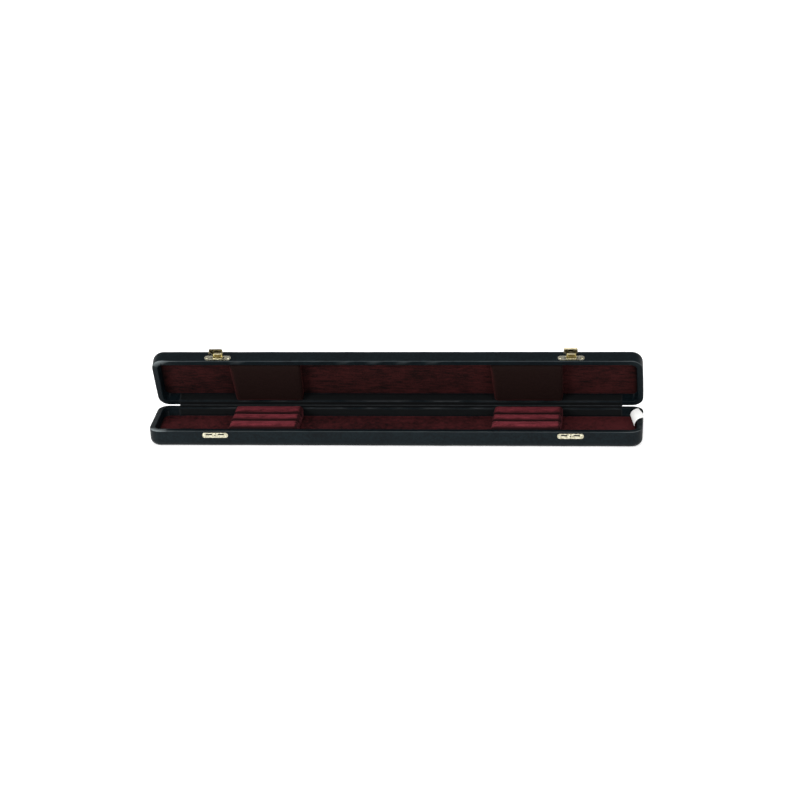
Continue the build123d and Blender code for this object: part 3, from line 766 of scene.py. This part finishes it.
# %% Fittings with rolled edges
def rolled_fitting(name, node, finish, body, width, has_second=None):
    """has_second says how far a face has the second colour, 0 to 1, from its middle and its normal."""
    bm = bmesh.new()
    bm.from_mesh(nodes[node].data)
    bmesh.ops.remove_doubles(bm, verts=bm.verts, dist=0.002 * mm)
    bmesh.ops.dissolve_limit(bm, angle_limit=radians(1.5), verts=bm.verts, edges=bm.edges)
    if has_second:
        second = bm.faces.layers.float.new("second")
        for face in bm.faces:
            face[second] = float(has_second(face.calc_center_median(), face.normal))
    piece = finish_piece(name, bm, Matrix.Identity(4), finish, body, [node])
    roll = piece.modifiers.new("rolled edges", "BEVEL")
    roll.width, roll.segments, roll.limit_method, roll.angle_limit = width, 3, "ANGLE", radians(28)
    even_shading(piece)


def furthest(node, direction):
    return max(v.co @ direction for v in nodes[node].data.vertices)


plate_back = -furthest("left_latch_plate", -out_dir)
housing_from = plate_back + 0.75 * mm
for side in ("left", "right"):
    rolled_fitting(f"{side}_keeper_plate", f"{side}_keeper", brass, "base", width=0.12 * mm)
    rolled_fitting(f"{side}_latch_base", f"{side}_latch_plate", plate_brass, "lid", width=0.1 * mm,
                   has_second=lambda middle, normal: middle @ out_dir > housing_from)

# %% [markdown]
# The levers are painted dark olive as shade on their inner side, but their hubs and outer faces keep the brass's
# own bright colour, and the lip of the right-hand one gets a painted highlight. A lever lies flat on the case at
# the upper limit of its joint, so turning the front's outward direction back by that angle says where the lever's
# outer face looks now.


# %% Latch levers
def latch_lever(side):
    hub_radius, lip = 1.6 * mm, 1.6 * mm
    node = f"{side}_latch_lever"
    low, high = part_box(f"{side}_latch_pin")
    pin = (low + high) / 2
    joints = frame["record"]["behaviour"]["joints"]
    flat_at = next(j["range_deg"][1] for j in joints if j["name"] == f"{node}_hinge")
    outward = Matrix.Rotation(-radians(flat_at), 3, "X") @ out_dir
    lip_from = furthest(node, Vector((0, 0, 1))) - lip

    def bright(middle, normal):
        # painted highlight on the right-hand lever's lip; hub and outer faces get the brass's own colour
        if side == "right" and middle.z > lip_from:
            return 1.0
        return 0.7 if (middle - pin).yz.length < hub_radius or normal @ outward > 0.7 else 0.0

    rolled_fitting(f"{side}_lever_arm", node, lever_brass_painted_shade, f"{side}_lever", width=0.12 * mm,
                   has_second=bright)


for side in ("left", "right"):
    latch_lever(side)

# %% [markdown]
# A stiff paper tag curls over the right-hand end. Two bent edges, front and back, are bridged into a sheet, which
# is cut finer and thickened. Each edge is an arc from the tag's inner end over the rim to its outer end.


# %% Blank end tag
def arc_through(first, middle, last, count):
    """Evenly spaced points on the arc from first over middle to last, each a pair of sizes."""
    # the arc's centre is the point that is equally far from all three
    (ax, ay), (bx, by), (cx, cy) = first, middle, last
    twice = 2 * (ax * (by - cy) + bx * (cy - ay) + cx * (ay - by))
    a2, b2, c2 = ax * ax + ay * ay, bx * bx + by * by, cx * cx + cy * cy
    centre = Vector(((a2 * (by - cy) + b2 * (cy - ay) + c2 * (ay - by)) / twice,
                     (a2 * (cx - bx) + b2 * (ax - cx) + c2 * (bx - ax)) / twice))
    start, end = Vector(first) - centre, Vector(last) - centre
    sweep = start.angle_signed(end)
    return [centre + Matrix.Rotation(sweep * -i / (count - 1), 2) @ start for i in range(count)]


# each in millimetres: outwards from the case's right-hand end, and upwards from its rim
tag_front = arc_through((-7.9, -5.3), (-6.2, 0.25), (3.4, 3.3), 9)
tag_back = arc_through((-12.1, -3.7), (-9.6, 0.97), (-4.6, 2.9), 9)


def end_tag():
    paper_step, paper_thickness = 2.5 * mm, 0.3 * mm
    low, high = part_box("end_tag")
    outer, rim = case_length / 2, base_height
    bm = bmesh.new()
    chains = []
    for y, bend in ((low.y, tag_front), (high.y, tag_back)):
        points = [bm.verts.new((outer + p.x * mm, y, rim + p.y * mm)) for p in bend]
        chains += [bm.edges.new(pair) for pair in zip(points, points[1:])]
    bmesh.ops.bridge_loops(bm, edges=chains)
    slice_across(bm, (0, 1, 0), low.y, high.y, paper_step)
    bmesh.ops.subdivide_edges(bm, edges=bm.edges[:], cuts=1, use_grid_fill=True)
    bmesh.ops.solidify(bm, geom=bm.faces[:], thickness=paper_thickness)
    piece = finish_piece("blank_paper_tag", bm, Matrix.Identity(4), paper, "base", ["end_tag"])
    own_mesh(piece)


end_tag()

# %% [markdown]
# The case stands in a plain white studio. The floor glows white to the camera and in reflections, but
# gives the case none of that glow as light. A ray's own kind, which the Light Path node tells, makes the
# choice.


# %% Studio floor
def ray_is(wire, kind):
    """1 for rays of this kind, such as Camera or Glossy, and 0 for all others."""
    return wire.node("LightPath", output=f"Is {kind} Ray")


floor_size = 4
floor_mesh = bpy.data.meshes.new("studio_floor")
bm = bmesh.new()
bmesh.ops.create_grid(bm, x_segments=1, y_segments=1, size=floor_size)
bm.to_mesh(floor_mesh)
bm.free()
floor = bpy.data.objects.new("studio_floor", floor_mesh)
bpy.context.scene.collection.objects.link(floor)

floor_finish, wire, place, shader = start_finish("white floor", Roughness=0.9, Specular_IOR_Level=0.0)
speckle = noise_at(wire, place, size=400 * mm)
wire.plug(shader.inputs["Base Color"], mix_colours(wire, speckle, (0.80, 0.80, 0.80), (0.82, 0.82, 0.82)))
plain = Wire(wire.tree, shader.outputs[0])
glow = wire.node("Emission", {"Color": (1, 1, 1, 1), "Strength": 0.55})
glowing = wire.node("AddShader", {0: plain, 1: glow})
direct = ray_is(wire, "Camera") + ray_is(wire, "Glossy") + ray_is(wire, "Transmission")
chosen = wire.node("MixShader", {0: wire.node("Clamp", {"Value": direct}), 1: plain, 2: glowing})
wire.plug(wire.tree.nodes["Material Output"].inputs["Surface"], chosen)
floor_mesh.materials.append(floor_finish)
print("floor", 2 * floor_size, "m wide")

# %% [markdown]
# The sky is white to the camera, and gives the case an even, mild light. In reflections it gets dimmer
# with height, so that the brass mirrors something darker above it and doesn't turn into flat white.

# %% Sky
world = bpy.data.worlds.new("studio")
bpy.context.scene.world = world
world.use_nodes = True
for old in world.node_tree.nodes[:]:
    world.node_tree.nodes.remove(old)
wire = Wire(world.node_tree)
direction = wire.node("TexCoord", output="Generated")
upwards = wire.node("SeparateXYZ", {"Vector": direction}, output="Z")
dim = wire.node("Clamp", {"Value": 1.15 - upwards * 1.1, "Min": 0.25})
light, mirrored, seen = (wire.node("Background", {"Color": (1, 1, 1, 1), "Strength": strength})
                         for strength in (0.8, dim, 1.0))
sky = wire.node("MixShader", {0: ray_is(wire, "Glossy"), 1: light, 2: mirrored})
sky = wire.node("MixShader", {0: ray_is(wire, "Camera"), 1: sky, 2: seen})
wire.plug(world.node_tree.nodes.new("ShaderNodeOutputWorld").inputs["Surface"], sky)
print("sky:", len(world.node_tree.nodes), "nodes")

# %% [markdown]
# Three large round lamps give the case its form. One hangs over the front, and two stand in front, far to
# the left and far to the right. The left one is the strongest, so one side of each edge is lit more.


# %% Soft lamps
def soft_lamp(name, place, aim, width, power):
    light = bpy.data.lights.new(name, "AREA")
    light.shape, light.size, light.energy = "DISK", width, power
    lamp = bpy.data.objects.new(name, light)
    lamp.location = place
    lamp.rotation_mode = "QUATERNION"
    lamp.rotation_quaternion = (Vector(aim) - Vector(place)).to_track_quat("-Z", "Y")
    bpy.context.scene.collection.objects.link(lamp)
    print(name, "lamp:", power, "W")


soft_lamp("overhead", place=(-0.2, -0.5, 1.7), aim=(0, 0, 0), width=1.2, power=12)
soft_lamp("front left", place=(-1.3, -2.0, 0.9), aim=(0, 0, 0.03), width=1.0, power=34)
soft_lamp("front right", place=(1.4, -1.9, 0.9), aim=(0, 0, 0.03), width=1.0, power=14)

# %% [markdown]
# The camera stands where the photo was taken from: a long lens from two and a half metres, a little to
# the right of the middle, looking down by twenty-three degrees and held slightly askew. Its place, turn
# and focal length come from matching the case's rims and silhouette.

# %% Camera
yaw, pitch, roll = radians(6.82), radians(22.82), radians(-2.57)
focal_pixels, image_pixels, sensor = 2776.7, 800, 36
aside, lifted, distance = 2.96, 31.92, 2545  # millimetres from the origin, along the camera's own axes
ahead = Vector((-sin(yaw) * cos(pitch), cos(yaw) * cos(pitch), -sin(pitch)))
level_right = Vector((cos(yaw), sin(yaw), 0))
level_up = level_right.cross(ahead)
right = cos(roll) * level_right + sin(roll) * level_up
above = cos(roll) * level_up - sin(roll) * level_right

camera_data = bpy.data.cameras.new("photographer")
camera_data.sensor_width, camera_data.lens = sensor, focal_pixels / image_pixels * sensor
camera_data.clip_start, camera_data.clip_end = 0.1, 50
camera = bpy.data.objects.new("photographer", camera_data)
stand = (right * aside + above * lifted - ahead * distance) * mm
turn = Matrix((right, above, -ahead)).transposed().to_4x4()
camera.matrix_world = Matrix.Translation(stand) @ turn
bpy.context.scene.collection.objects.link(camera)
bpy.context.scene.camera = camera
bpy.context.scene.view_settings.view_transform = "Standard"
print("camera at", [round(c, 3) for c in stand])
